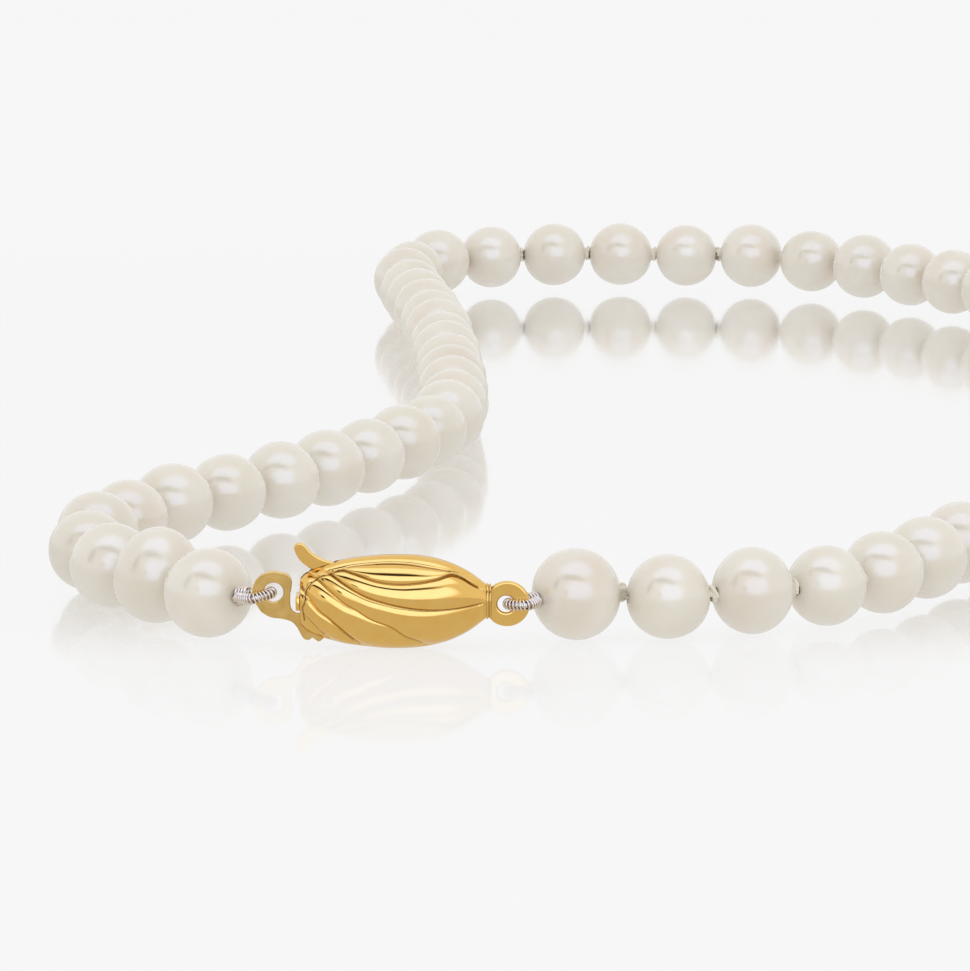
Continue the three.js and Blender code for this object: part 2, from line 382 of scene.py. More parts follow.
def carried_along(path, aside):
    """Each point of a path with two unit vectors square to it, which turn as little as they can."""
    path = np.asarray(path, float)
    ahead = np.gradient(path, axis=0)
    ahead /= np.linalg.norm(ahead, axis=1)[:, None]
    side = np.cross(ahead[0], aside)
    for centre, way in zip(path, ahead):
        side = unit(side - way * (side @ way))
        yield centre, side, np.cross(way, side)


def tube(path, radius, sides):
    """Points and faces of a round closed tube along a path."""
    points = []
    for centre, side, up in carried_along(path, [0.3, 0.2, 1.0]):
        for k in range(sides):
            points.append(centre + radius * turned(side, up, 2 * math.pi * k / sides))
    faces = grid_faces(len(path), sides, wrap_columns=True)
    return points, faces + end_caps(len(points), sides)


def end_caps(count, sides):
    """The two faces that close a tube of count points."""
    return [tuple(range(sides)), tuple(range(count - 1, count - 1 - sides, -1))]


def join(parts):
    """Several (points, faces) as one."""
    points, faces = [], []
    for more, quads in parts:
        start = len(points)
        points.extend(more)
        faces.extend(tuple(i + start for i in face) for face in quads)
    return points, faces


# ---- The strand ----
COURSE_SAMPLES = 2000


def course():
    """The strand's line: a centripetal Catmull-Rom curve through the route, as (lengths, points)."""
    route = np.array(ROUTE, float)
    before, after = 2 * route[0] - route[1], 2 * route[-1] - route[-2]
    held = np.concatenate([[before], route, [after]])
    line = []
    for s in range(COURSE_SAMPLES + 1):
        t = s / COURSE_SAMPLES * (len(route) - 1)
        i = min(int(t), len(route) - 2)
        w = t - i
        p = held[i : i + 4]
        d = np.linalg.norm(np.diff(p, axis=0), axis=1) ** 0.5
        m1 = (p[1] - p[0]) / d[0] - (p[2] - p[0]) / (d[0] + d[1]) + (p[2] - p[1]) / d[1]
        m2 = (p[2] - p[1]) / d[1] - (p[3] - p[1]) / (d[1] + d[2]) + (p[3] - p[2]) / d[2]
        m1, m2 = m1 * d[1], m2 * d[1]
        line.append(
            p[1]
            + m1 * w
            + (3 * (p[2] - p[1]) - 2 * m1 - m2) * w**2
            + (2 * (p[1] - p[2]) + m1 + m2) * w**3
        )
    line = np.array(line)
    steps = np.linalg.norm(np.diff(line, axis=0), axis=1)
    return np.concatenate([[0], np.cumsum(steps)]), line


def pearl_size(number):
    """Half-length along the bore and half-girth; most pearls differ a little, and a few a lot."""
    if number in ODD_PEARLS:
        return ODD_PEARLS[number]
    length = PEARL_RADIUS + 0.07 * math.sin(1.9 * number)
    return length, PEARL_RADIUS + 0.08 * math.sin(2.7 * number + 1)


def strand():
    """Every pearl with its size, its place, the way its bore points, its node and its body."""
    lengths, line = course()
    sizes = [pearl_size(n + 1) for n in range(PEARL_COUNT)]
    pearls_alone = sum(a[0] + b[0] for a, b in zip(sizes, sizes[1:]))
    knot = (lengths[-1] - pearls_alone - SLACK) / (PEARL_COUNT - 1)
    pearls = []
    along = 0.0
    for i, (length, girth) in enumerate(sizes):
        if i:
            along += sizes[i - 1][0] + length + knot
        if i == SLACK_KNOT:
            along += SLACK
        at = [np.interp(along, lengths, line[:, k]) for k in (0, 1)]
        centre = np.array([*at, girth])
        pearls.append({"number": i + 1, "length": length, "girth": girth, "centre": centre})
    for i, pearl in enumerate(pearls):
        before = pearls[i - 1]["centre"] if i else EYELET_CENTRE
        if i < PEARL_COUNT - 1:
            axis = unit(pearls[i + 1]["centre"] - pearl["centre"]) + unit(pearl["centre"] - before)
        else:
            axis = RING_CENTRE - pearl["centre"]
        pearl["axis"] = unit(axis)
        pearl["entry"] = pearl["centre"] - pearl["axis"] * pearl["length"]
        pearl["exit"] = pearl["centre"] + pearl["axis"] * pearl["length"]
        runs = [run for run, (first, last) in JOINED_RUNS.items() if first <= i + 1 <= last]
        pearl["node"] = runs[0] if runs else f"pearl_{i + 1:02d}"
        pearl["first_of_node"] = not runs or JOINED_RUNS[runs[0]][0] == i + 1
        pearl["body"] = BODY_OF[pearl["node"]]
    return pearls


PEARLS = strand()

# How much narrower the top is than the bottom, for the pearls that are plainly off round.
EGG = {2: 0.07, 4: -0.03, 63: 0.03}
# The other pearls' share of that, at most.
SLIGHT_EGG = 0.012
# How much taller than round, from the surface up.
TALL = {2: 1.05}
# How far the skin strays from round, in waves the size of the pearl and in finer ones.
LUMP, FINE_LUMP = 0.018, 0.005
# The rounding at the mouth of the bore.
LIP = 0.09
PEARL_SIDES, PEARL_ROWS = 72, 44


def lip_arc(mouth, going_in):
    """The rounded lip at one end of the bore, as (radius, place along the bore, on the skin or not)."""
    made = []
    for degrees in (30, 60, 90) if going_in else (90, 60, 30):
        a = math.radians(degrees)
        radius = BORE_RADIUS + LIP * (1 - math.sin(a))
        made.append((radius, mouth - math.copysign(LIP * (1 - math.cos(a)), mouth), False))
    return made


def pearl_profile(length, girth):
    """A pearl's outline from one end of its bore round to the other, and back through the bore."""
    first = math.asin((BORE_RADIUS + LIP) / girth)
    profile = []
    for k in range(PEARL_ROWS + 1):
        a = first + (math.pi - 2 * first) * k / PEARL_ROWS
        profile.append((girth * math.sin(a), -length * math.cos(a), True))
    mouth = profile[-1][1]
    bore = [(BORE_RADIUS, mouth * share, False) for share in (0.5, 0, -0.5)]
    return profile + lip_arc(mouth, True) + bore + lip_arc(-mouth, False)


def add_pearl(pearl):
    """A drilled pearl: its lumpy skin, a rounded lip at each end of the bore, and the bore's wall."""
    number, girth = pearl["number"], pearl["girth"]
    side, up = frame_along(pearl["axis"])
    egg = EGG.get(number, SLIGHT_EGG * math.sin(5.1 * number))
    seed = Vector((number * 3.7, 1.3, 8.1))
    profile = pearl_profile(pearl["length"], girth)
    points = []
    for radius, along, on_skin in profile:
        for k in range(PEARL_SIDES):
            out = turned(side, up, 2 * math.pi * k / PEARL_SIDES)
            point = pearl["axis"] * along + out * radius
            if on_skin:
                way = Vector(point / girth)
                lump = noise.noise(way * 0.9 + seed) * LUMP + noise.noise(way * 2.2 + seed) * FINE_LUMP
                # The lumps die away towards the bore.
                point = point * (1 + lump * min(1, (radius - BORE_RADIUS) / 1.5))
                narrow = 1 - egg * point[2] / girth
                point = np.array([point[0] * narrow, point[1] * narrow, point[2]])
            points.append((pearl["centre"] + point) * [1, 1, TALL.get(number, 1)])
    faces = grid_faces(len(profile), PEARL_SIDES, wrap_rows=True, wrap_columns=True)
    replaced = [pearl["node"]] if pearl["first_of_node"] else []
    name = f"pearl_{number:02d}_nacre"
    write_mesh(name, points, faces, NACRE, pearl["body"], "pearl_nacre", replaces=replaced)


for each in PEARLS:
    add_pearl(each)


# ---- Silk ----
# A ply's radius, the length of one full twist, and the steps it is drawn in.
PLY, LAY, PLY_STEP = 0.085, 1.1, 0.12
# A knot: how many wraps it shows, its radius over them, its widest and its cord's radius.
KNOT_TURNS, KNOT_GIRTH, KNOT_WIDTH, KNOT_CORD = 2.5, 0.78, 0.7, 0.24
# How much of the slack gap the knot there takes up, and how far its thread shortens as the strand bends.
SLACK_KNOT_SHARE, SLACK_KEPT = 0.34, 0.4
# How far a thread reaches past the ends of its bore.
THREAD_INSET = 0.1


def thread(start, end):
    """A three-ply twisted thread between two points."""
    way = end - start
    reach = np.linalg.norm(way)
    side, up = frame_along(way)
    count = max(6, round(reach / PLY_STEP))
    plies = []
    for k in range(3):
        path = []
        for i in range(count + 1):
            s = reach * i / count
            out = turned(side, up, 2 * math.pi * (s / LAY + k / 3))
            path.append(start + way * (s / reach) + out * PLY * 0.95)
        plies.append(tube(path, PLY, 6))
    return plies


def knot(start, end):
    """An overhand knot drawn tight in the gap: its wraps, the part that crosses over them, and its heart."""
    way = end - start
    reach = np.linalg.norm(way)
    axis = way / reach
    side, up = frame_along(way)
    middle = (start + end) / 2
    width = min(reach * 0.9, KNOT_WIDTH)
    wraps = []
    for t in np.linspace(0, 1, 41):
        swell = KNOT_GIRTH - KNOT_CORD + 0.06 * math.sin(math.pi * t)
        out = turned(side, up, 2 * math.pi * KNOT_TURNS * t)
        wraps.append(middle + axis * width * (t - 0.5) + out * swell)
    over = []
    for t in np.linspace(0, 1, 15):
        lift = KNOT_GIRTH - KNOT_CORD * 0.4 + 0.14 * math.sin(math.pi * t)
        out = turned(side, up, math.pi * (0.2 + 0.9 * t))
        over.append(middle + axis * width * (0.5 - t) + out * lift)
    heart = [middle + axis * width * t for t in (-0.5, -0.45, -0.2, 0, 0.2, 0.45, 0.5)]
    return [
        tube(wraps, KNOT_CORD * 0.8, 8),
        tube(over, KNOT_CORD * 0.75, 8),
        tube(heart, KNOT_GIRTH - KNOT_CORD, 12),
    ]


def add_silk():
    """The silk of each body: the thread through its pearls, and the knot after each."""
    parts_of = {}
    for pearl in PEARLS:
        parts = parts_of.setdefault(pearl["body"], [])
        inset = pearl["axis"] * THREAD_INSET
        # Where the halves meet, the slack thread is another piece, so this one starts inside the bore.
        start = pearl["entry"] + (inset if pearl["number"] == SLACK_KNOT + 1 else -inset)
        parts.extend(thread(start, pearl["exit"] + inset))
        if pearl["number"] < PEARL_COUNT:
            following = PEARLS[pearl["number"]]
            gap = following["entry"] - pearl["exit"]
            if pearl["number"] == SLACK_KNOT:
                # The knot sits against this pearl, and add_slack_thread draws the thread beyond it.
                parts.extend(knot(pearl["exit"], pearl["exit"] + gap * SLACK_KNOT_SHARE))
            else:
                parts.extend(knot(pearl["exit"], following["entry"]))
    stands_for = {BODY_OF[name]: [name] for name in ("silk_thread_tongue_side", "silk_thread_ring_side")}
    for body, parts in parts_of.items():
        replaced = stands_for.get(body, ())
        write_mesh("silk_of_" + body, *join(parts), SILK, body, "silk", replaces=replaced)


def add_slack_thread():
    """The slack thread beyond the knot where the loop's two halves meet."""
    before, after = PEARLS[SLACK_KNOT - 1], PEARLS[SLACK_KNOT]
    along = unit(after["entry"] - before["exit"])
    parts = thread(before["exit"], after["entry"] + along * THREAD_INSET / 2)
    slack = write_mesh("slack_silk", *join(parts), SILK, before["body"], "silk")
    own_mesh(slack)


add_silk()
add_slack_thread()


# ---- French wire ----
# The coil's radius and pitch, its wire's radius, and the radius of the silk that shows inside it.
COIL_RADIUS, COIL_PITCH, COIL_WIRE, COIL_HEART = 0.4, 0.28, 0.1, 0.25
# The wraps at the pearl are of thicker wire.
TIE_PITCH, TIE_WIRE = 0.31, 0.12


def spline(points, per_span=12):
    """A smooth line through points."""
    held = np.array([points[0], *points, points[-1]], float)
    line = []
    for i in range(1, len(held) - 2):
        for k in range(per_span):
            w = k / per_span
            a, b, c, d = held[i - 1 : i + 3]
            slope, bend = c - a, 2 * a - 5 * b + 4 * c - d
            twist = 3 * b - a - 3 * c + d
            line.append(0.5 * (2 * b + slope * w + bend * w**2 + twist * w**3))
    line.append(held[-2])
    return np.array(line)


def evenly(line, step):
    """The same line at even steps."""
    gone = np.concatenate([[0], np.cumsum(np.linalg.norm(np.diff(line, axis=0), axis=1))])
    at = np.linspace(0, gone[-1], max(2, round(gone[-1] / step)))
    return np.stack([np.interp(at, gone, line[:, k]) for k in range(3)], axis=1)


def coil(line, radius, wire, pitch):
    """A close coil of round wire along a line."""
    sides = 14
    path = evenly(line, pitch / sides)
    winding = []
    for i, (centre, side, up) in enumerate(carried_along(path, [0.2, 0.1, 1.0])):
        winding.append(centre + radius * turned(side, up, 2 * math.pi * i / sides))
    return tube(winding, wire, 7)


def add_french_wire(name, hole, mouth, body, tie_radius):
    """The guarded loop through a hole: a coil out and back from the pearl, and the wraps that close it."""
    out = unit((mouth - hole) * [1, 0, 1])
    run = unit(mouth - hole)
    beside = unit(np.array([run[1], -run[0], 0]))
    if beside[1] > 0:
        beside = -beside
    # Both legs pass the sheet with room to spare.
    clear = SHEET / 2 + WIRE_RADIUS + 0.1

    def place(reach, y):
        """A point at a reach from the hole's centre towards the pearl, y from the sheet's middle."""
        spot = hole + out * reach
        return np.array([spot[0], y, spot[2]])

    end = mouth - run * 0.3
    near = end * 0.4 + place(2.4, -0.3) * 0.6 + beside * 0.3
    far = end * 0.4 + place(2.4, 1.1) * 0.6 - beside * 0.3
    line = spline(
        [
            end + beside * 0.5,
            near,
            place(1.9, -clear),
            place(0.95, -clear),
            place(0.3, -0.46),
            place(0.2, 0),
            place(0.3, 0.46),
            place(0.95, clear),
            place(1.9, clear + 0.15),
            far,
            end - beside * 0.5,
        ]
    )
    parts = [
        coil(line, COIL_RADIUS, COIL_WIRE, COIL_PITCH),
        tube(evenly(line, 0.1), COIL_HEART, 10),
    ]
    # Wider wraps hold both legs together where they meet the pearl.
    tie = np.array([end - run * 1.1, end + run * 0.25])
    parts.append(coil(tie, tie_radius, TIE_WIRE, TIE_PITCH))
    write_mesh(name + "_coil", *join(parts), WIRE, body, "french_wire", replaces=[name])


FIRST, LAST = PEARLS[0], PEARLS[-1]
add_french_wire("french_wire_tongue_side", EYELET_CENTRE, FIRST["entry"], FIRST["body"], 0.76)
add_french_wire("french_wire_ring_side", RING_CENTRE, LAST["exit"], LAST["body"], 0.62)


# ---- Clasp housing ----
def curve_through(stations, x):
    """A smooth curve through (x, value) stations, read at x; its ends run on straight."""
    xs = np.array([s[0] for s in stations], float)
    ys = np.array([s[1] for s in stations], float)
    slope = np.gradient(ys, xs)
    x = np.asarray(x, float)
    i = np.clip(np.searchsorted(xs, x) - 1, 0, len(xs) - 2)
    h = xs[i + 1] - xs[i]
    t = np.clip((x - xs[i]) / h, 0, 1)
    inside = (
        (2 * t**3 - 3 * t**2 + 1) * ys[i]
        + (t**3 - 2 * t**2 + t) * h * slope[i]
        + (3 * t**2 - 2 * t**3) * ys[i + 1]
        + (t**3 - t**2) * h * slope[i + 1]
    )
    below = np.minimum(x - xs[0], 0) * slope[0]
    above = np.maximum(x - xs[-1], 0) * slope[-1]
    return inside + below + above


# The creases between the flutes, top one first, as heights along X on the front.
CREASES = [
    [
        (-8.2, 5.9), (-5.5, 6.8), (-3.9, 7.24), (-2, 7.5), (0, 7.6), (1.5, 7.5), (3.2, 7.2), (5, 6.88),
        (8.3, 6.3),
    ],
    [
        (-8.2, 8.0), (-5.35, 6.89), (-4.3, 6.98), (-3.4, 6.71), (-1.2, 5.91), (0.5, 5.69), (2.3, 5.82),
        (4, 6.18), (5.3, 6.6), (6.1, 6.35), (7.3, 5.55), (8.3, 5.0),
    ],
    [
        (-8.2, 8.2), (-5.35, 6.63), (-4.3, 5.82), (-3.4, 5.19), (-2.1, 4.48), (-0.8, 4.03), (0.5, 3.67),
        (3.2, 3.31), (5.3, 3.4), (7.5, 3.85), (8.3, 4.1),
    ],
    [
        (-8.2, 7.4), (-6.4, 6.09), (-5.6, 5.28), (-4.3, 4.03), (-3, 3.22), (-2.1, 2.6), (0.1, 1.61),
        (1.1, 0.9), (2.3, 0.45), (8.3, -3),
    ],
    [
        (-8.2, 5.6), (-7.2, 4.3), (-6.5, 3.31), (-5.6, 2.51), (-4.7, 1.7), (-3.9, 0.99), (-3, 0.3),
        (0, -1.8), (8.3, -8),
    ],
    [(-8.2, 3.3), (-7.5, 2.7), (-6.8, 1.9), (-6, 1.1), (-5.2, 0.5), (-4, -0.6), (0, -4), (8.3, -11)],
]
# Where each crease is chased sharp, from and to along X, and how dark the painted shade along its line is;
# that also scales the cut.
CHASED = [
    (-3.9, 5.1, 0.9), (-5.35, 7.5, 0.8), (-5.35, 7.9, 0.9), (-6.4, 2.6, 0.4), (-7.2, -3.4, 0.45),
    (-7.5, -5.6, 0.3),
]
# The chased line round the mouth, as X and height, and how dark the painted shade along it is.
MOUTH_LINE = [
    (-4.3, 7.0), (-5.35, 6.65), (-6.5, 6.27), (-7.2, 5.64), (-7.55, 5.01), (-7.66, 4.03), (-7.85, 3.58),
    (-7.7, 2.4),
]
MOUTH_DARKNESS = 0.9
# The heights are taken on a plane that leans back by 10.4 degrees.
# So a point's height there drops by this share of its depth.
LEAN = 0.184
# How deep a full-width flute is at its edges, how wide that is, and how sharply the flute turns down there.
FLUTE_DEPTH, FULL_FLUTE, FLUTE_POWER = 0.3, 2.2, 2.6
# Heights above and below every crease, where the first flute begins and the last one ends.
FLUTES_TOP, FLUTES_BOTTOM = 9.4, -2.4
# A chased line's depth, and how wide its cut and the painted shade along it are.
CHASED_DEPTH, CHASED_WIDTH, DARK_WIDTH = 0.05, 0.09, 0.065
SHELL_STATIONS, SHELL_ACROSS = 320, 230


def nearest_to(line, x, z):
    """How far each point lies from a line of short straight steps."""
    nearest = np.full_like(x, np.inf)
    for a, b in zip(line, line[1:]):
        way = b - a
        t = np.clip(((x - a[0]) * way[0] + (z - a[1]) * way[1]) / (way @ way), 0, 1)
        nearest = np.minimum(nearest, np.hypot(x - a[0] - t * way[0], z - a[1] - t * way[1]))
    return nearest


def flutes(x, z):
    """How far the skin lies below the plain housing, and how much painted shade each point gets from the
    chased lines.
    """
    lines = [curve_through(crease, x) for crease in CREASES]
    edges = [np.full_like(x, FLUTES_TOP), *lines, np.full_like(x, FLUTES_BOTTOM)]
    depth = np.zeros_like(x)
    for upper, lower in zip(edges, edges[1:]):
        width = np.maximum(upper - lower, 1e-3)
        inside = (z <= upper) & (z > lower)
        across = np.clip((upper - z) / width, 0, 1)
        sag = np.abs(2 * across - 1) ** FLUTE_POWER * FLUTE_DEPTH * np.minimum(width / FULL_FLUTE, 1)
        depth = np.where(inside, sag, depth)
    chased = [(spline([(a, b, 0) for a, b in MOUTH_LINE])[:, :2], MOUTH_DARKNESS)]
    for crease, (start, end, dark) in zip(CREASES, CHASED):
        along = np.linspace(start, end, 90)
        chased.append((np.stack([along, curve_through(crease, along)], 1), dark))
    recess = np.zeros_like(x)
    for line, dark in chased:
        nearest = nearest_to(line, x, z)
        recess = np.maximum(recess, dark * np.exp(-((nearest / DARK_WIDTH) ** 2)))
        depth = depth + CHASED_DEPTH * dark * np.exp(-((nearest / CHASED_WIDTH) ** 2))
    return depth, recess


def rim_angle(x, depth, stations, gaps):
    """The angle at which the skin ends at a rim, where the two halves stand this far from the middle."""
    return np.arccos(np.clip(np.interp(x, stations, gaps) / depth, 0, 1))


def add_shell(name, front):
    """A stamped and fluted half: a skin of stations along X by angles from its top rim to its bottom rim."""
    x = np.linspace(HOUSING[0][0], HOUSING[-1][0], SHELL_STATIONS)
    half = curve_through(HOUSING, x)
    depth = HOUSING_FLATNESS * half
    # The slot for the tongue is wide where the thumb lever comes out and narrow below.
    top = rim_angle(x, depth, [-8.1, -5.0, -4.6], [0.5, 0.42, 0.02])
    bottom = rim_angle(x, depth, [-8.1, -6.3, -5.8], [0.45, 0.45, 0.02])
    angle = top[:, None] - (top + bottom)[:, None] * np.linspace(0, 1, SHELL_ACROSS)[None, :]
    xs = np.repeat(x[:, None], SHELL_ACROSS, 1)
    zs = AXIS_Z + half[:, None] * np.sin(angle)
    sunk, recess = flutes(xs, zs - LEAN * depth[:, None] * np.cos(angle))
    # Painted shade along the mouth's edge.
    recess[:, :2] = 0.8
    # The flutes run out before the rims and the ring end.
    fade = np.clip((math.pi / 2 - np.abs(angle)) / 0.35, 0, 1)
    fade = fade * fade * (3 - 2 * fade) * np.clip((8.2 - xs) / 0.6, 0, 1)
    sunk = sunk * fade
    ys = (-1 if front else 1) * (depth[:, None] * np.cos(angle) - sunk)
    zs = zs - sunk * 0.5 * np.sin(angle)
    points = np.stack([xs, ys, zs], axis=2).reshape(-1, 3)
    faces = grid_faces(SHELL_STATIONS, SHELL_ACROSS)
    if not front:
        faces = [tuple(reversed(face)) for face in faces]
    shell = write_mesh(
        name + "_fluted",
        points,
        faces,
        BUFFED_GOLD,
        "housing",
        "polished_gold",
        recess=recess.ravel(),
        replaces=[name],
    )
    wall = shell.modifiers.new("wall", "SOLIDIFY")
    wall.thickness = SHELL_WALL * MM
    wall.offset = -1


add_shell("front_shell", True)
add_shell("back_shell", False)


def lathe(profile, height, around):
    """A closed ring turned about a level axis at a height, from (x, radius) points."""
    points = []
    for x, radius in profile:
        for k in range(around):
            a = 2 * math.pi * k / around
            points.append((x, radius * HOUSING_FLATNESS * math.cos(a), height + radius * math.sin(a)))
    return points, grid_faces(len(profile), around, wrap_rows=True, wrap_columns=True)


def add_end_collar():
    """The ribbed collar that closes the housing's ring end."""
    around, ribs_along, inner = 48, 13, 0.2
    profile = [(7.7, inner), (7.7, 1.55)]
    for k in range(ribs_along):
        taper = 1.6 - 0.07 * k / (ribs_along - 1)
        profile.append((7.75 + 0.075 * k, taper + 0.08 * math.cos(math.pi * k / 2)))
    profile.extend([(8.72, 1.3), (8.72, inner)])
    points, faces = lathe(profile, AXIS_Z, around)
    # Painted shade: the grooves are darker than the ribs.
    groove_shade = [0.75 if radius < 1.5 else 0.1 for x, radius in profile for k in range(around)]
    write_mesh("end_collar", points, faces, BUFFED_GOLD, "housing", "polished_gold", recess=groove_shade)


add_end_collar()


# ---- Pieces cut from sheet ----
def flatten_faces(piece):
    """Turn a closed piece's faces outwards, and keep its wide faces flat up to their rounded edges."""
    edit = bmesh.new()
    edit.from_mesh(piece.data)
    bmesh.ops.recalc_face_normals(edit, faces=edit.faces)
    edit.to_mesh(piece.data)
    edit.free()
    piece.modifiers.new("flat_faces", "WEIGHTED_NORMAL").weight = 100


def sheet_piece(name, outlines, thickness, edge, finish, body, replaces):
    """A flat piece in the clasp's middle plane, cut to outlines in X and Z, with its edges rounded."""
    flat = bpy.data.curves.new(name, "CURVE")
    flat.dimensions = "2D"
    flat.fill_mode = "BOTH"
    flat.extrude = (thickness / 2 - edge) * MM
    flat.bevel_depth = edge * MM
    flat.bevel_resolution = 3
    for outline in outlines:
        line = flat.splines.new("POLY")
        line.points.add(len(outline) - 1)
        for spot, (x, z) in zip(line.points, outline):
            spot.co = (x * MM, z * MM, 0, 1)
        line.use_cyclic_u = True
    drawn = bpy.data.objects.new(name + "_outline", flat)
    mesh = bpy.data.meshes.new_from_object(drawn)
    points = [(v.co.x / MM, v.co.z / MM, v.co.y / MM) for v in mesh.vertices]
    faces = [tuple(reversed(p.vertices)) for p in mesh.polygons]
    bpy.data.objects.remove(drawn)
    bpy.data.curves.remove(flat)
    bpy.data.meshes.remove(mesh)
    piece = write_mesh(name, points, faces, finish, body, "polished_gold", replaces=replaces)
    flatten_faces(piece)
    return piece


def arc(centre, radius, start, end, count):
    """Points on an arc in X and Z, angles in degrees."""
    made = []
    for degrees in np.linspace(start, end, count):
        a = math.radians(degrees)
        made.append((centre[0] + radius * math.cos(a), centre[2] + radius * math.sin(a)))
    return made


def hole_outline(centre):
    """The hole for the silk, run the other way round from the piece's outline."""
    return arc(centre, HOLE_RADIUS, 0, -348, 30)


def smooth_line(points):
    """A smooth line in X and Z through a few points."""
    return [(x, z) for x, z, flat in spline([(x, z, 0) for x, z in points], 8)]


def add_tongue():
    """The eyelet, the neck, the tongue that runs into the housing, and the hook under the crossbar."""
    eyelet = arc(EYELET_CENTRE, 1.8, 208.6, 78.5, 30)
    neck_above = smooth_line([
        (-9.9, 6.72), (-9.2, 6.5), (-8.9, 5.9), (-9.05, 4.7), (-9.0, 3.6), (-8.6, 3.12), (-8.2, 3.05),
    ])
    inside = [(-2, 3.2), (4.3, 3.62), (4.3, 2.9), (-2, 2.2), (-5.7, 1.75)]
    hook = smooth_line([
        (-5.8, 1.3), (-6.1, 0.95), (-6.45, 0.68), (-6.75, 0.82), (-7.05, 1.0), (-7.4, 0.8), (-7.75, 0.9),
        (-7.97, 1.2),
    ])
    neck_below = smooth_line([(-8.3, 1.85), (-8.8, 2.4), (-9.6, 2.68), (-10.7, 2.84), (-11.5, 3.3)])
    outlines = [eyelet + neck_above + inside + hook + neck_below, hole_outline(EYELET_CENTRE)]
    sheet_piece("tongue_plate_cut", outlines, SHEET, 0.07, SHADED_ROLLED_GOLD, "tongue", ["tongue_plate"])


def add_thumb_lever():
    """The sprung arm from the fold up to the mouth, and the curled tab that the thumb presses."""
    arm_above = [(4.6, 3.72), (4.6, 4.5), (1, 5.6), (-2, 6.55), (-4.3, 7.15)]
    tab = smooth_line([
        (-5.2, 7.55), (-6.1, 7.82), (-6.75, 8.15), (-7.3, 8.6), (-7.75, 9.12), (-8.05, 9.28), (-8.38, 9.2),
        (-8.48, 8.85), (-8.1, 8.05), (-7.4, 7.4), (-6.6, 6.92),
    ])
    arm_below = [(-4.3, 6.42), (-2, 5.84), (1, 4.9), (3.9, 3.84)]
    outlines = [arm_above + tab + arm_below]
    sheet_piece("thumb_lever_cut", outlines, SHEET, 0.12, BUFFED_GOLD, "thumb_lever", ["thumb_lever"])


add_tongue()
add_thumb_lever()


def add_end_ring():
    """The flat ring, its hole set nearer the housing, and the neck that joins it to the collar."""
    ring = arc(RING_CENTRE + [0.1, 0, 0.02], 1.82, 128, -128, 60)
    neck = [(8.5, 3.0), (8.5, 4.9)]
    outlines = [ring + neck, hole_outline(RING_CENTRE)]
    sheet_piece("end_ring_cut", outlines, SHEET, 0.2, BUFFED_GOLD, "housing", ["end_ring"])


add_end_ring()


def add_crossbar():
    """The round-cornered bar across the mouth."""
    corner = 0.1
    # How far in the section is at each place along the bar.
    rows = [(-1.35, 0.16), (-1.3, 0.06), (-1.2, 0), (1.2, 0), (1.3, 0.06), (1.35, 0.16)]
    section = []
    for cx, cz, start in ((-8.18, 4.65, 0), (-8.38, 4.65, 90), (-8.38, 3.65, 180), (-8.18, 3.65, 270)):
        for k in range(5):
            a = math.radians(start + 22.5 * k)
            section.append((cx + corner * math.cos(a), cz + corner * math.sin(a)))
    middle = np.mean(section, axis=0)
    points = []
    for y, inset in rows:
        for spot in section:
            way = np.array(spot) - middle
            x, z = middle + way * (1 - inset / np.linalg.norm(way))
            points.append((x, y, z))
    faces = grid_faces(len(rows), len(section), wrap_columns=True)
    faces.extend(end_caps(len(points), len(section)))
    bar = write_mesh(
        "crossbar_rounded",
        points,
        faces,
        BUFFED_GOLD,
        "housing",
        "polished_gold",
        replaces=["crossbar"],
    )
    flatten_faces(bar)


add_crossbar()


# ---- Stage ----
PALE = linear("#F6F6F6")
ROOM = PALE[0]
# The colour of the two lit cards.
DAYLIGHT = "#CCDAFF"


def link_stage(name, mesh, finish):
    """Put a mesh in the scene as staging, marked as backdrop so that the bounds leave it out."""
    made = bpy.data.objects.new(name, mesh)
    bpy.context.scene.collection.objects.link(made)
    mesh.materials.append(finish)
    made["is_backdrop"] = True
    return made


def panel_mesh(name, centre, across, up):
    """A flat four-cornered panel in metres."""
    centre, across, up = (np.array(v, float) for v in (centre, across, up))
    corners = [centre - across - up, centre + across - up, centre + across + up, centre - across + up]
    mesh = bpy.data.meshes.new(name)
    mesh.from_pydata([c.tolist() for c in corners], [], [(0, 1, 2, 3)])
    return mesh


def floor_body(tree):
    """Evenly lit white, with only a trace of the shadows."""
    lit = node(tree, "ShaderNodeBsdfDiffuse", {"Color": grey(0.15)})
    even = node(tree, "ShaderNodeEmission", {"Color": PALE, "Strength": 0.85})
    return node(tree, "ShaderNodeAddShader", {0: lit.outputs[0], 1: even.outputs[0]})


def fade_along_y(tree, limits):
    """A smooth change between two places along Y, in metres."""
    where = node(tree, "ShaderNodeTexCoord").outputs["Object"]
    split = node(tree, "ShaderNodeSeparateXYZ", {"Vector": where})
    sockets = {"Value": split.outputs["Y"], **limits}
    fade = node(tree, "ShaderNodeMapRange", sockets, interpolation_type="SMOOTHSTEP")
    return fade.outputs[0]


def shine(tree, strength):
    """A share of mirror reflection: Fresnel's, times a strength."""
    slant = node(tree, "ShaderNodeFresnel", {"IOR": 1.5})
    sockets = {0: strength, 1: slant.outputs[0]}
    return node(tree, "ShaderNodeMath", sockets, operation="MULTIPLY", use_clamp=True).outputs[0]


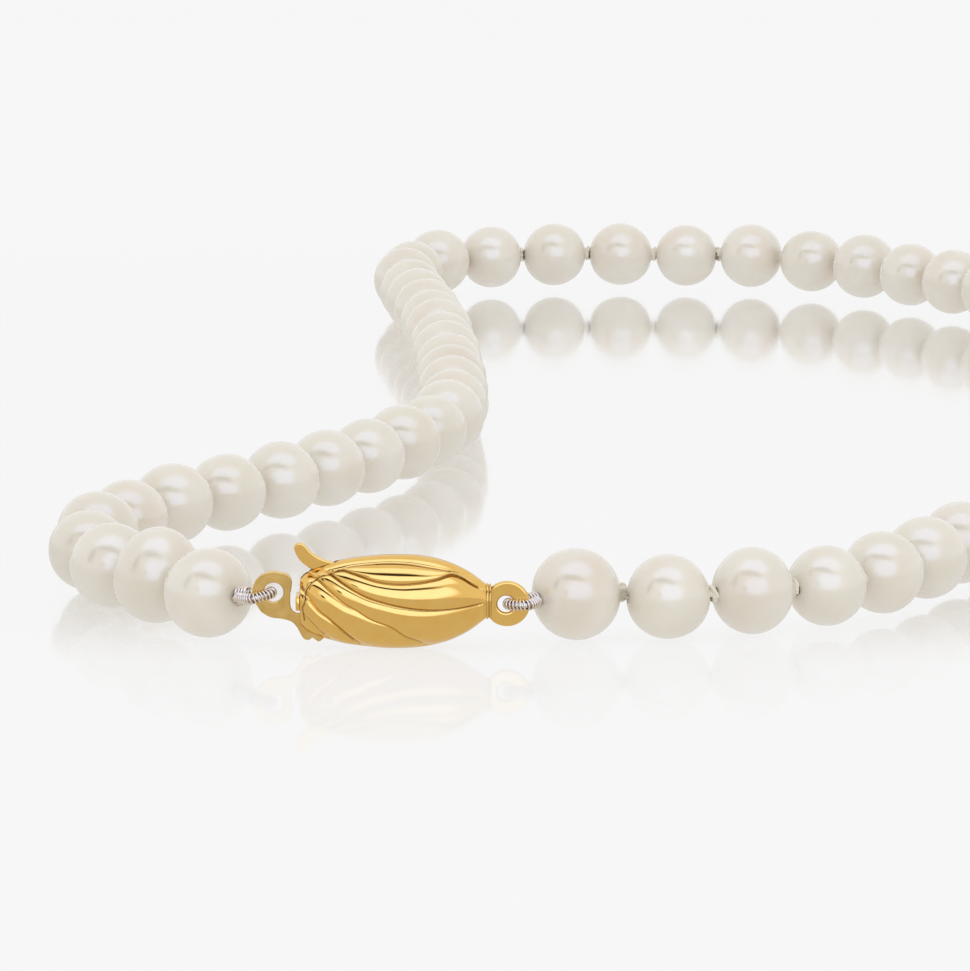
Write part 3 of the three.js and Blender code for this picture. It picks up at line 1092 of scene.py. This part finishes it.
def satin_sheet(tree):
    """The sheet in front, with a faint gloss; it thins out behind the clasp."""
    gloss = node(tree, "ShaderNodeBsdfGlossy", {"Color": grey(1), "Roughness": 0.06})
    body = floor_body(tree)
    satin = node(tree, "ShaderNodeMixShader", {0: shine(tree, 0.3), 1: body.outputs[0], 2: gloss.outputs[0]})
    clear = node(tree, "ShaderNodeBsdfTransparent", {"Color": grey(1)})
    thin = fade_along_y(tree, {"From Min": -0.118, "From Max": -0.085})
    return node(tree, "ShaderNodeMixShader", {0: thin, 1: satin.outputs[0], 2: clear.outputs[0]})


def back_mirror(tree):
    """The polished face a little under the sheet, which mirrors the back of the loop at a low angle."""
    mirror = node(tree, "ShaderNodeBsdfGlossy", {"Color": grey(1), "Roughness": 0.09})
    body = floor_body(tree)
    strength = fade_along_y(tree, {"From Min": 0.12, "From Max": 0.17, "To Min": 2.0, "To Max": 0.0})
    share = shine(tree, strength)
    return node(tree, "ShaderNodeMixShader", {0: share, 1: body.outputs[0], 2: mirror.outputs[0]})


def even_glow(colour, strength):
    """A look that gives off one colour all over."""

    def build(tree):
        return node(tree, "ShaderNodeEmission", {"Color": linear(colour), "Strength": strength})

    return build


def add_floor(name, depth, look):
    """A level sheet, twelve metres across, at a depth in metres."""
    sheet = panel_mesh(name, (0, 0, -depth), (6, 0, 0), (0, 6, 0))
    return link_stage(name, sheet, look)


def add_stage():
    sheet = add_floor("satin_sheet", 0, material("satin_sheet", satin_sheet))
    mirror = add_floor("back_mirror", 0.0008, material("back_mirror", back_mirror))
    sheet.visible_glossy = mirror.visible_glossy = False
    # What polished metal sees of the floor is a little duller than the floor itself.
    dull = add_floor("floor_seen_in_metal", 0.001, material("dull_floor", even_glow("#E6E3DD", 0.9)))
    dull.visible_camera = dull.visible_diffuse = dull.visible_shadow = False


add_stage()


def add_world():
    world = bpy.data.worlds.new("pale_room")
    bpy.context.scene.world = world
    world.use_nodes = True
    tree = world.node_tree
    tree.nodes.clear()
    sky = node(tree, "ShaderNodeBackground", {"Color": PALE, "Strength": 1.0})
    node(tree, "ShaderNodeOutputWorld", {"Surface": sky.outputs[0]})
    bpy.context.scene.view_settings.view_transform = "Standard"


add_world()


def aim_at_clasp(made, place):
    """Put a light or a card at a place in metres from the clasp, facing it."""
    made.location = Vector(CLASP * MM) + Vector(place)
    made.rotation_euler = (-Vector(place)).to_track_quat("-Z", "Y").to_euler()


def add_top_softbox():
    """The light that models the forms: wide, high and weak, because the pale room gives most of it."""
    lamp = bpy.data.lights.new("top_softbox", "AREA")
    lamp.shape = "RECTANGLE"
    lamp.size, lamp.size_y = 0.9, 0.9
    lamp.energy = 0.9
    made = bpy.data.objects.new("top_softbox", lamp)
    bpy.context.scene.collection.objects.link(made)
    aim_at_clasp(made, (0.1, -0.4, 0.9))
    made.visible_glossy = False


def soft_card(size, brightness, edge, colour):
    """A card as bright as asked in its middle, and like the room at its rim."""

    def build(tree):
        where = node(tree, "ShaderNodeTexCoord").outputs["Object"]
        sockets = {0: where, 1: (2 / size[0], 2 / size[1], 1)}
        scaled = node(tree, "ShaderNodeVectorMath", sockets, operation="MULTIPLY")
        out = node(tree, "ShaderNodeVectorMath", {0: scaled.outputs[0]}, operation="LENGTH")
        sockets = {"Value": out.outputs["Value"], "From Min": edge, "From Max": 1.0}
        rim = node(tree, "ShaderNodeMapRange", sockets, interpolation_type="SMOOTHSTEP")
        lit = (*[brightness * c for c in linear(colour)[:3]], 1)
        sockets = {0: rim.outputs[0], 6: lit, 7: grey(ROOM)}
        level = node(tree, "ShaderNodeMix", sockets, data_type="RGBA")
        return node(tree, "ShaderNodeEmission", {"Color": level.outputs[2], "Strength": 1.0})

    return build


def add_card(name, place, size, brightness, edge, colour="#FFFFFF"):
    """A soft-edged panel seen only in gloss: a lit diffuser, or a dark flag."""
    across, up = size
    look = material(name, soft_card(size, brightness, edge, colour))
    card = panel_mesh(name, (0, 0, 0), (across / 2, 0, 0), (0, up / 2, 0))
    made = link_stage(name, card, look)
    aim_at_clasp(made, place)
    made.visible_camera = made.visible_diffuse = made.visible_shadow = False


add_top_softbox()
add_card("front_diffuser", (0.08, -0.68, 0.31), (1.25, 0.82), 2.3, 0.62, DAYLIGHT)
add_card("top_diffuser", (0.0, -0.2, 0.96), (1.7, 0.95), 2.15, 0.62, DAYLIGHT)
add_card("flag_above", (-0.12, -0.36, 0.57), (1.0, 0.22), 0.02, 0.5)
add_card("flag_left", (-0.56, -0.26, 0.36), (0.24, 0.6), 0.03, 0.5)
add_card("lens_hood", (-0.21, -0.44, 0.15), (0.075, 0.1), 0.02, 0.8)

sizes = [[list(corner) for corner in box] for box in (cad_box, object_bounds())]
